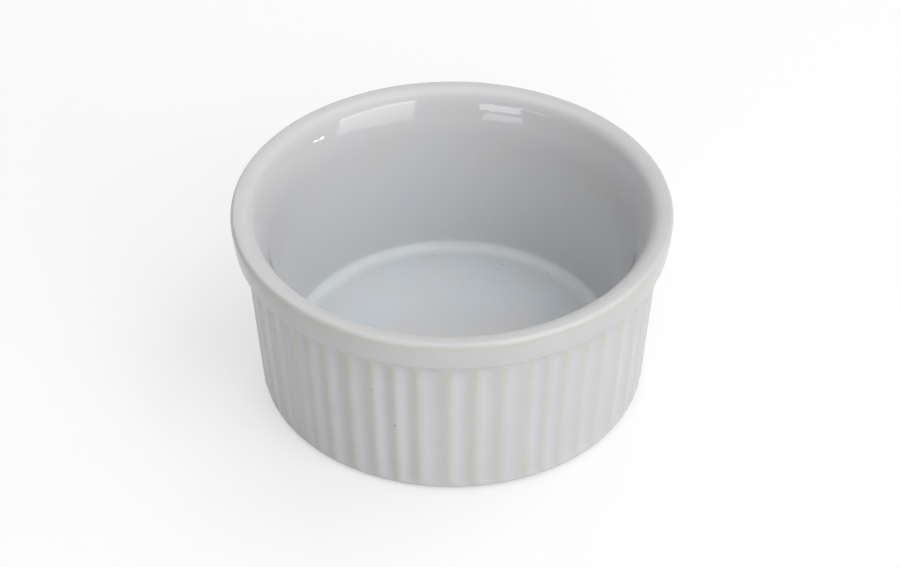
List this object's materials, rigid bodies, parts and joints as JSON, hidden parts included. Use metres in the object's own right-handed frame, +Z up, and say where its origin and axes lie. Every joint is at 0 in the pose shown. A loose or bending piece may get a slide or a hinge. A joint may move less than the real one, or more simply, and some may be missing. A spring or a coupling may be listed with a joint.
{
  "type": "fluted ramekin",
  "caption": "Round white glazed stoneware baking dish with a plain collar, a fluted wall, a flat floor and a bare foot ring, for one serving of baked custard.",
  "frame": {"origin": "centre of the circle that the foot ring stands on", "axes": "+Z up along the dish's axis; the pictured side faces -Y, with +X to its right"},
  "size_m": [0.09, 0.09, 0.042],
  "materials": {
    "clay": "bare fired stoneware, matt and slightly gritty",
    "outer_glaze": "glossy white glaze, breaking to tan on the rim's edge and on the ridges",
    "liner_glaze": "glossy white glaze, slightly blue where it pools at the floor's edge",
    "under_glaze": "thin white glaze in the recess of the foot"
  },
  "bodies": {
    "root": {"stoneware_body": "clay", "outside_glaze": "outer_glaze", "inside_glaze": "liner_glaze", "underside_glaze": "under_glaze"}
  },
  "joints": []
}
